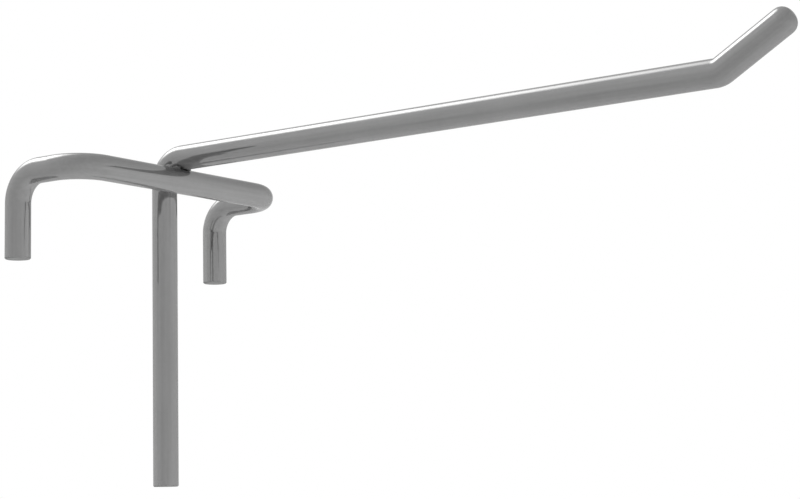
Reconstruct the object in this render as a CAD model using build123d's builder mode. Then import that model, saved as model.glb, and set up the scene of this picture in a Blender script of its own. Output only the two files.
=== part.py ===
# Gridwall hook: a peg wire and a saddle wire of one diameter, welded where they cross.
# The origin is on the axis of the grid wire that the hook hangs on, midway between its two hooks.
# The peg points to -Y, out of the wall, and +Z is up. Lengths are in millimetres.

import os
from math import cos, radians, sin, sqrt

from build123d import *

# The wire of the hook
wire_diameter = 7.1
cut_edge_break = 0.3

# The grid panel that the hook hangs on
grid_wire_diameter = 6.35
grid_pitch = 76.2

# The peg wire
peg_length = 175.0
tip_angle = 30.0
tip_length = 22.2
tip_inner_radius = 0.4
tip_end_radius = 2.9
leg_overrun = 2.2

# The saddle wire
saddle_width = 81.0
throat_play = 3.2
hook_grip = 13.6
saddle_inner_radius = 6.0
hook_inner_radius = 4.7

# The weld between the two wires
weld_set_down = 0.2
weld_offset = 2.0
weld_bead_radius = 1.0

# Places that follow from those sizes
wire_radius = wire_diameter / 2
crossing_distance = wire_diameter - weld_set_down
throat = grid_wire_diameter + throat_play
hook_leg_y = throat / 2 + wire_radius
leg_y = -hook_leg_y
bar_y = leg_y - crossing_distance
saddle_z = grid_wire_diameter / 2 + wire_radius
peg_z = saddle_z + crossing_distance
leg_end_z = -grid_pitch - leg_overrun
hook_end_z = -grid_wire_diameter / 2 - hook_grip
hook_x = saddle_width / 2

tip_corner_y = leg_y - peg_length
tip_end_y = tip_corner_y - tip_length * cos(radians(tip_angle))
tip_end_z = peg_z + tip_length * sin(radians(tip_angle))

# The peg wire, bent down behind the crossbar at one end and up into a stop at the other
with BuildPart() as peg_wire:
    with BuildLine() as peg_path:
        FilletPolyline(
            (0, leg_y, leg_end_z),
            (0, leg_y, peg_z),
            (0, tip_corner_y, peg_z),
            (0, tip_end_y, tip_end_z),
            radius=[crossing_distance, tip_inner_radius + wire_radius],
        )
    with BuildSketch(Plane.XY.offset(leg_end_z)):
        with Locations((0, leg_y)):
            Circle(wire_radius)
    sweep(path=peg_path.line)
    leg_cut = peg_wire.edges().filter_by(GeomType.CIRCLE).sort_by(Axis.Z)[0]
    chamfer(leg_cut, cut_edge_break)
    tip_rim = peg_wire.edges().filter_by(GeomType.CIRCLE).sort_by(Axis.Y)[0]
    fillet(tip_rim, tip_end_radius)

peg_wire.part.label = "peg_wire"

# The saddle wire: crossbar, two returns and two hook legs, pressed into the bend of the peg wire
with BuildPart() as saddle_wire:
    with BuildLine() as saddle_path:
        FilletPolyline(
            (-hook_x, hook_leg_y, hook_end_z),
            (-hook_x, hook_leg_y, saddle_z),
            (-hook_x, bar_y, saddle_z),
            (hook_x, bar_y, saddle_z),
            (hook_x, hook_leg_y, saddle_z),
            (hook_x, hook_leg_y, hook_end_z),
            radius=[
                hook_inner_radius + wire_radius,
                saddle_inner_radius + wire_radius,
                saddle_inner_radius + wire_radius,
                hook_inner_radius + wire_radius,
            ],
        )
    with BuildSketch(Plane.XY.offset(hook_end_z)):
        with Locations((-hook_x, hook_leg_y)):
            Circle(wire_radius)
    sweep(path=saddle_path.line)
    hook_cuts = saddle_wire.edges().filter_by(GeomType.CIRCLE).group_by(Axis.Z)[0]
    chamfer(hook_cuts, cut_edge_break)
    add(peg_wire.part, mode=Mode.SUBTRACT)

saddle_wire.part.label = "saddle_wire"

# Two weld beads in the crevices between the crossbar and the bend that wraps it
crevice_gap = crossing_distance - sqrt(wire_radius**2 - weld_offset**2) - wire_radius
bead_distance = wire_radius + crevice_gap / 2
bar_axis = Axis((0, bar_y, saddle_z), (1, 0, 0))

with BuildPart() as weld_beads:
    with BuildSketch(Plane.XY.offset(saddle_z)):
        with Locations((weld_offset, bar_y + bead_distance)):
            Circle(weld_bead_radius)
    revolve(axis=bar_axis, revolution_arc=90)
    with Locations(
        (weld_offset, bar_y + bead_distance, saddle_z),
        (weld_offset, bar_y, saddle_z + bead_distance),
    ):
        Sphere(weld_bead_radius, rotation=(0, 90, 0))
    mirror(about=Plane.YZ)
    add(peg_wire.part, mode=Mode.SUBTRACT)
    add(saddle_wire.part, mode=Mode.SUBTRACT)

weld_beads.part.label = "weld_beads"

os.makedirs("parts", exist_ok=True)
for piece in (peg_wire, saddle_wire, weld_beads):
    export_step(piece.part, f"parts/{piece.part.label}.step")
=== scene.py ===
from math import pi, radians, tan

import bpy
from mathutils import Euler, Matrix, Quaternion, Vector


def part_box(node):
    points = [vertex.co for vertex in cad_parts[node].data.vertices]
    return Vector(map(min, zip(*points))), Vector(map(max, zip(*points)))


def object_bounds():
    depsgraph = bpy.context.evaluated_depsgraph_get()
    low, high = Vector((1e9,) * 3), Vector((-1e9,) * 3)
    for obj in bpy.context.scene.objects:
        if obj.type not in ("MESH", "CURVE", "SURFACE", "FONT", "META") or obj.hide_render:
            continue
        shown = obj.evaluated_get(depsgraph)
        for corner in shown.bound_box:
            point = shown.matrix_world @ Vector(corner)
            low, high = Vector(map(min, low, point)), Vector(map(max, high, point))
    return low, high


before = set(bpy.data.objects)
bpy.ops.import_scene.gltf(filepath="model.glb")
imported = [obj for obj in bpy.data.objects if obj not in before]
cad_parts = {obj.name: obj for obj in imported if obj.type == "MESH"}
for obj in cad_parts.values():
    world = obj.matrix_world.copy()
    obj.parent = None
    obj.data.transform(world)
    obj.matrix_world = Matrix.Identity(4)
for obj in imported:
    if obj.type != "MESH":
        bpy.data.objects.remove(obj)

cad_low, cad_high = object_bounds()

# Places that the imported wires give, in metres
peg_low, peg_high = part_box("peg_wire")
saddle_low, saddle_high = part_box("saddle_wire")
wire_radius = peg_high.x
bar_y = saddle_low.y + wire_radius
bar_z = saddle_high.z - wire_radius
bar_back = bar_y + wire_radius
hook_lines_top = bar_z - 2 * wire_radius

# The lens, with its focal length in pixels of the picture and its sensor in millimetres
picture_width = 800
focal_pixels = 2030.3
sensor_width = 36.0
near_limit = 0.01

# The camera stands in front of the hook, to its left and a little below it, in metres
camera_place = Vector((-0.4227, -0.3941, -0.0884))
camera_heading = radians(54.278)
camera_pitch = radians(7.542)
camera_roll = radians(-1.138)

# The studio: a white surround, a pale table that fades into it, a softbox behind and two broad lights
fill_strength = 0.1
table_drop = 0.07
table_size = 8.0
table_shade = 0.57
table_roughness = 0.9
table_fade_start = 0.2
table_fade_end = 0.6
studio_centre = Vector((0, -0.06, -0.01))
lamp_distance = 3.0
softbox_direction = Vector((0.05, 0.65, 0.76))
softbox_width = 2.7
softbox_height = 3.2
softbox_radiance = 9.3
softbox_rim_share = 0.45
softbox_top_glow = 0.25
broad_direction = Vector((-0.30, 0.64, 0.71))
broad_angle = radians(41)
overhead_strength = 4.8
underlight_strength = 3.2

# Soft noise, which lies mostly between a low and a high value
noise_low = 0.3
noise_high = 0.7
noise_detail = 2.0

# The bright plating over drawn wire: tone, gloss, and the clouds and flecks that the bath leaves in them
plating_grey = 0.275
plating_metallic = 0.6
plating_edge_tint = 0.5
plating_roughness = 0.05
cloud_size = 0.012
cloud_depth = 0.025
fleck_size = 0.0012
fleck_depth = 0.015
gloss_size = 0.005
gloss_change = 0.35

# The lines that the drawing die leaves along the wire, which fade where one run of it turns into the next
line_width = 0.0008
line_length = 0.03
line_depth = 0.05
line_height = 4e-6
line_detail = 4.0
run_fade = 0.004

# The stop at the front of the peg is bent up from this far behind the end of the peg
stop_run = 0.0199
stop_angle = radians(30)

# The sheared ends of the legs
cut_reach = 0.00035
cut_fade = 0.0001
cut_grey = 0.225
cut_roughness = 0.5
shear_width = 0.0003
shear_length = 0.004
shear_depth = 0.2
shear_height = 2e-5

# The weld, plated over, with ripples across it and small lumps
# The weld's grey is painted shade: far darker than the wire's, for the crevice where the wires cross
weld_painted_shade_grey = 0.12
weld_roughness = 0.3
ripple_turn = radians(12)
ripple_drift = radians(2)
ripple_height = 9e-5
lump_size = 0.0009
lump_height = 2e-5

VALUE = "NodeSocketFloat"
VECTOR = "NodeSocketVector"


def grey(shade):
    return (shade, shade, shade, 1)


def add_node(tree, kind, **settings):
    node = tree.nodes.new(kind)
    for name, value in settings.items():
        setattr(node, name, value)
    return node


def feed(tree, target, value):
    """Link a socket to an input, or set the input to a plain value."""
    if isinstance(value, bpy.types.NodeSocket):
        tree.links.new(value, target)
    else:
        target.default_value = value


def maths(tree, operation, *values):
    node = add_node(tree, "ShaderNodeMath", operation=operation)
    for target, value in zip(node.inputs, values):
        feed(tree, target, value)
    return node.outputs["Value"]


def spread(tree, value, from_low, from_high, to_low, to_high, interpolation="LINEAR"):
    """Map a range of values onto another, held at both ends."""
    node = add_node(tree, "ShaderNodeMapRange", interpolation_type=interpolation)
    feed(tree, node.inputs["Value"], value)
    feed(tree, node.inputs["From Min"], from_low)
    feed(tree, node.inputs["From Max"], from_high)
    feed(tree, node.inputs["To Min"], to_low)
    feed(tree, node.inputs["To Max"], to_high)
    return node.outputs["Result"]


def rise(tree, value, start, end):
    """Smoothly from 0 where the value is at its start to 1 where it is at its end."""
    return spread(tree, value, start, end, 0, 1, "SMOOTHSTEP")


def mixed(tree, share, first, second):
    """The first value where the share is 0, and the second where it is 1."""
    node = add_node(tree, "ShaderNodeMix")
    feed(tree, node.inputs["Factor"], share)
    feed(tree, node.inputs["A"], first)
    feed(tree, node.inputs["B"], second)
    return node.outputs["Result"]


def apart(tree, place):
    node = add_node(tree, "ShaderNodeSeparateXYZ")
    feed(tree, node.inputs["Vector"], place)
    return node.outputs["X"], node.outputs["Y"], node.outputs["Z"]


def together(tree, x, y, z):
    node = add_node(tree, "ShaderNodeCombineXYZ")
    feed(tree, node.inputs["X"], x)
    feed(tree, node.inputs["Y"], y)
    feed(tree, node.inputs["Z"], z)
    return node.outputs["Vector"]


def noise(tree, place, size, low, high, detail=noise_detail):
    """Soft noise of one size in metres, spread from a low to a high value."""
    node = add_node(tree, "ShaderNodeTexNoise")
    feed(tree, node.inputs["Vector"], place)
    feed(tree, node.inputs["Scale"], 1 / size)
    feed(tree, node.inputs["Detail"], detail)
    return spread(tree, node.outputs["Fac"], noise_low, noise_high, low, high)


def new_group(name, inputs, outputs):
    """An empty node group with named sockets, and the sockets inside it."""
    group = bpy.data.node_groups.new(name, "ShaderNodeTree")
    for socket, kind in inputs.items():
        group.interface.new_socket(socket, in_out="INPUT", socket_type=kind)
    for socket, kind in outputs.items():
        group.interface.new_socket(socket, in_out="OUTPUT", socket_type=kind)
    given = add_node(group, "NodeGroupInput").outputs
    result = add_node(group, "NodeGroupOutput").inputs
    return group, given, result


def use_group(tree, group, **values):
    node = add_node(tree, "ShaderNodeGroup", node_tree=group)
    for name, value in values.items():
        feed(tree, node.inputs[name], value)
    return node.outputs


def rays_that_see(tree):
    """1 for rays that see the background, straight from the camera or by way of a mirror or glass."""
    path = add_node(tree, "ShaderNodeLightPath")
    seen = maths(tree, "MAXIMUM", path.outputs["Is Camera Ray"], path.outputs["Is Glossy Ray"])
    return maths(tree, "MAXIMUM", seen, path.outputs["Is Transmission Ray"])


def make_camera():
    data = bpy.data.cameras.new("photo_camera")
    data.sensor_fit = "HORIZONTAL"
    data.sensor_width = sensor_width
    data.lens = focal_pixels / picture_width * sensor_width
    data.clip_start = near_limit
    camera = bpy.data.objects.new("photo_camera", data)
    camera.location = camera_place
    aim = Euler((pi / 2 + camera_pitch, 0, -camera_heading)).to_quaternion()
    camera.rotation_mode = "QUATERNION"
    camera.rotation_quaternion = aim @ Quaternion((0, 0, 1), camera_roll)
    bpy.context.scene.collection.objects.link(camera)
    bpy.context.scene.camera = camera


def make_surround():
    """White where it is seen or mirrored, and a dim even fill for everything else."""
    world = bpy.data.worlds.new("white_surround")
    world.use_nodes = True
    tree = world.node_tree
    background = tree.nodes["Background"]
    background.inputs["Color"].default_value = grey(1)
    feed(tree, background.inputs["Strength"], mixed(tree, rays_that_see(tree), fill_strength, 1))
    bpy.context.scene.world = world


def make_table_finish():
    """Pale near the hook, and fading to the white of the surround further out."""
    material = bpy.data.materials.new("pale_table")
    material.use_nodes = True
    tree = material.node_tree
    near = tree.nodes["Principled BSDF"]
    near.inputs["Base Color"].default_value = grey(table_shade)
    near.inputs["Roughness"].default_value = table_roughness
    far = add_node(tree, "ShaderNodeEmission")
    feed(tree, far.inputs["Strength"], rays_that_see(tree))
    place = add_node(tree, "ShaderNodeTexCoord").outputs["Object"]
    distance = add_node(tree, "ShaderNodeVectorMath", operation="LENGTH")
    feed(tree, distance.inputs[0], place)
    fade = add_node(tree, "ShaderNodeMixShader")
    feed(tree, fade.inputs["Fac"], rise(tree, distance.outputs["Value"], table_fade_start, table_fade_end))
    feed(tree, fade.inputs[1], near.outputs["BSDF"])
    feed(tree, fade.inputs[2], far.outputs["Emission"])
    feed(tree, tree.nodes["Material Output"].inputs["Surface"], fade.outputs["Shader"])
    return material


def make_table():
    """A table that takes the hook's shadow and casts none, so the light from under it reaches the hook."""
    bpy.ops.object.select_all(action="DESELECT")
    bpy.ops.mesh.primitive_plane_add(size=table_size, location=(0, 0, cad_low.z - table_drop))
    table = bpy.context.object
    table.name = "light_table"
    table.visible_shadow = False
    table.data.materials.append(make_table_finish())


def place_lamp(name, data, direction):
    """Hang a lamp in one direction from the hook, turned to it."""
    lamp = bpy.data.objects.new(name, data)
    away = direction.normalized()
    lamp.location = studio_centre + away * lamp_distance
    lamp.rotation_mode = "QUATERNION"
    lamp.rotation_quaternion = away.to_track_quat("Z", "Y")
    bpy.context.scene.collection.objects.link(lamp)
    return lamp


def make_softbox():
    """A softbox that the tops of the wires mirror, soft at its edges and dimmer towards its top."""
    data = bpy.data.lights.new("softbox", "AREA")
    data.shape = "RECTANGLE"
    data.size = softbox_width
    data.size_y = softbox_height
    data.energy = softbox_radiance * pi * softbox_width * softbox_height
    data.use_nodes = True
    tree = data.node_tree
    face = add_node(tree, "ShaderNodeNewGeometry").outputs["Parametric"]
    across, up, _ = apart(tree, face)
    glow = mixed(tree, up, 1, softbox_top_glow)
    for side in (across, up):
        for edge in (0, 1):
            rim = rise(tree, side, edge, abs(edge - softbox_rim_share))
            glow = maths(tree, "MULTIPLY", glow, rim)
    feed(tree, tree.nodes["Emission"].inputs["Strength"], glow)
    place_lamp("softbox", data, softbox_direction)


def make_broad_light(name, direction, strength):
    """A broad, even light that shades the wires softly and isn't mirrored in them."""
    data = bpy.data.lights.new(name, "SUN")
    data.angle = broad_angle
    data.energy = strength
    lamp = place_lamp(name, data, direction)
    lamp.visible_glossy = False
    lamp.visible_camera = False


def make_plating_group():
    """Slow clouds, fine flecks and patches of gloss in the tone and roughness of the plating."""
    inputs = {"Place": VECTOR, "Grey": VALUE, "Roughness": VALUE}
    outputs = {"Grey": VALUE, "Roughness": VALUE}
    group, given, result = new_group("plating_skin", inputs, outputs)
    clouds = noise(group, given["Place"], cloud_size, 1 - cloud_depth, 1 + cloud_depth)
    flecks = noise(group, given["Place"], fleck_size, 1 - fleck_depth, 1 + fleck_depth)
    gloss = noise(group, given["Place"], gloss_size, 1 - gloss_change, 1 + gloss_change)
    tone = maths(group, "MULTIPLY", clouds, flecks)
    feed(group, result["Grey"], maths(group, "MULTIPLY", given["Grey"], tone))
    feed(group, result["Roughness"], maths(group, "MULTIPLY", given["Roughness"], gloss))
    return group


def make_lines_group():
    """Drawn lines along the third axis of a run, from 0 in a groove to 1 on a crest."""
    group, given, result = new_group("drawn_lines", {"Run": VECTOR}, {"Lines": VALUE})
    side, other, along = apart(group, given["Run"])
    stretched = together(group, side, other, maths(group, "MULTIPLY", along, line_width / line_length))
    feed(group, result["Lines"], noise(group, stretched, line_width, 0, 1, line_detail))
    return group


def make_cut_group():
    """A sheared end: a mask of the cut face and its broken edge, and the marks that the blade leaves."""
    inputs = {"Place": VECTOR, "Level": VALUE}
    outputs = {"Cut": VALUE, "Marks": VALUE}
    group, given, result = new_group("sheared_end", inputs, outputs)
    x, y, z = apart(group, given["Place"])
    height = maths(group, "SUBTRACT", z, given["Level"])
    feed(group, result["Cut"], rise(group, height, cut_reach, cut_reach - cut_fade))
    stretched = together(group, maths(group, "MULTIPLY", x, shear_width / shear_length), y, z)
    feed(group, result["Marks"], noise(group, stretched, shear_width, 0, 1))
    return group


def new_finish(name):
    """A new plated material, its node tree, its shader and the Object coordinates."""
    material = bpy.data.materials.new(name)
    material.use_nodes = True
    tree = material.node_tree
    shader = tree.nodes["Principled BSDF"]
    shader.inputs["Metallic"].default_value = plating_metallic
    shader.inputs["Specular Tint"].default_value = grey(plating_edge_tint)
    place = add_node(tree, "ShaderNodeTexCoord").outputs["Object"]
    return material, tree, shader, place


def raise_surface(tree, shader, height):
    """Bump the surface by a height in metres."""
    bump = add_node(tree, "ShaderNodeBump")
    feed(tree, bump.inputs["Distance"], 1.0)
    feed(tree, bump.inputs["Height"], height)
    feed(tree, shader.inputs["Normal"], bump.outputs["Normal"])


def peg_lines(tree, place):
    """Lines down the leg, then along the peg and up its stop."""
    x, y, z = apart(tree, place)
    past_corner = maths(tree, "MAXIMUM", maths(tree, "SUBTRACT", peg_low.y + stop_run, y), 0)
    climb = maths(tree, "MULTIPLY", past_corner, tan(stop_angle))
    height = maths(tree, "SUBTRACT", z, climb)
    down = use_group(tree, lines_group, Run=place)["Lines"]
    out = use_group(tree, lines_group, Run=together(tree, x, height, y))["Lines"]
    on_peg = rise(tree, z, saddle_high.z - run_fade, saddle_high.z)
    return mixed(tree, on_peg, down, out)


def saddle_lines(tree, place):
    """Lines down the hook legs, along the returns and across the crossbar."""
    x, y, z = apart(tree, place)
    down = use_group(tree, lines_group, Run=place)["Lines"]
    back = use_group(tree, lines_group, Run=together(tree, x, z, y))["Lines"]
    across = use_group(tree, lines_group, Run=together(tree, y, z, x))["Lines"]
    on_bar = rise(tree, y, bar_back + run_fade, bar_back)
    on_leg = rise(tree, z, hook_lines_top, hook_lines_top - run_fade)
    return mixed(tree, on_leg, mixed(tree, on_bar, back, across), down)


def make_wire_finish(name, lines_along, cut_level):
    """Plated wire with its drawn lines, duller where its ends are cut."""
    material, tree, shader, place = new_finish(name)
    skin = use_group(tree, plating_group, Place=place, Grey=plating_grey, Roughness=plating_roughness)
    end = use_group(tree, cut_group, Place=place, Level=cut_level)
    lines = lines_along(tree, place)
    line_tone = mixed(tree, lines, 1 - line_depth, 1 + line_depth)
    wire_tone = maths(tree, "MULTIPLY", skin["Grey"], line_tone)
    end_tone = mixed(tree, end["Marks"], cut_grey * (1 - shear_depth), cut_grey * (1 + shear_depth))
    feed(tree, shader.inputs["Base Color"], mixed(tree, end["Cut"], wire_tone, end_tone))
    feed(tree, shader.inputs["Roughness"], mixed(tree, end["Cut"], skin["Roughness"], cut_roughness))
    wire_height = maths(tree, "MULTIPLY", lines, line_height)
    end_height = maths(tree, "MULTIPLY", end["Marks"], shear_height)
    raise_surface(tree, shader, mixed(tree, end["Cut"], wire_height, end_height))
    return material


def weld_ripples(tree, place):
    """Ripples across the weld as it turns round the crossbar, from 0 in a hollow to 1 on a crest."""
    _, y, z = apart(tree, place)
    turn = maths(tree, "ARCTAN2", maths(tree, "SUBTRACT", z, bar_z), maths(tree, "SUBTRACT", y, bar_y))
    drift = noise(tree, place, lump_size, -ripple_drift, ripple_drift)
    phase = maths(tree, "MULTIPLY", maths(tree, "ADD", turn, drift), 2 * pi / ripple_turn)
    return spread(tree, maths(tree, "SINE", phase), -1, 1, 0, 1)


def make_weld_finish():
    """The plated weld, darker than the wire with painted shade for the crevice where the wires cross, and
    rougher, with its ripples and small lumps.
    """
    material, tree, shader, place = new_finish("plated_weld")
    skin = use_group(tree, plating_group, Place=place, Grey=weld_painted_shade_grey, Roughness=weld_roughness)
    feed(tree, shader.inputs["Base Color"], skin["Grey"])
    feed(tree, shader.inputs["Roughness"], skin["Roughness"])
    ripples = maths(tree, "MULTIPLY", weld_ripples(tree, place), ripple_height)
    lumps = noise(tree, place, lump_size, 0, lump_height)
    raise_surface(tree, shader, maths(tree, "ADD", ripples, lumps))
    return material


def dress(node, material):
    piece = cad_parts[node]
    piece.data.materials.clear()
    piece.data.materials.append(material)


make_camera()
make_surround()
make_table()
make_softbox()
make_broad_light("overhead_light", broad_direction, overhead_strength)
make_broad_light("underlight", -broad_direction, underlight_strength)

plating_group = make_plating_group()
lines_group = make_lines_group()
cut_group = make_cut_group()
dress("peg_wire", make_wire_finish("plated_peg_wire", peg_lines, peg_low.z))
dress("saddle_wire", make_wire_finish("plated_saddle_wire", saddle_lines, saddle_low.z))
dress("weld_beads", make_weld_finish())

bpy.context.scene.view_settings.view_transform = "Standard"
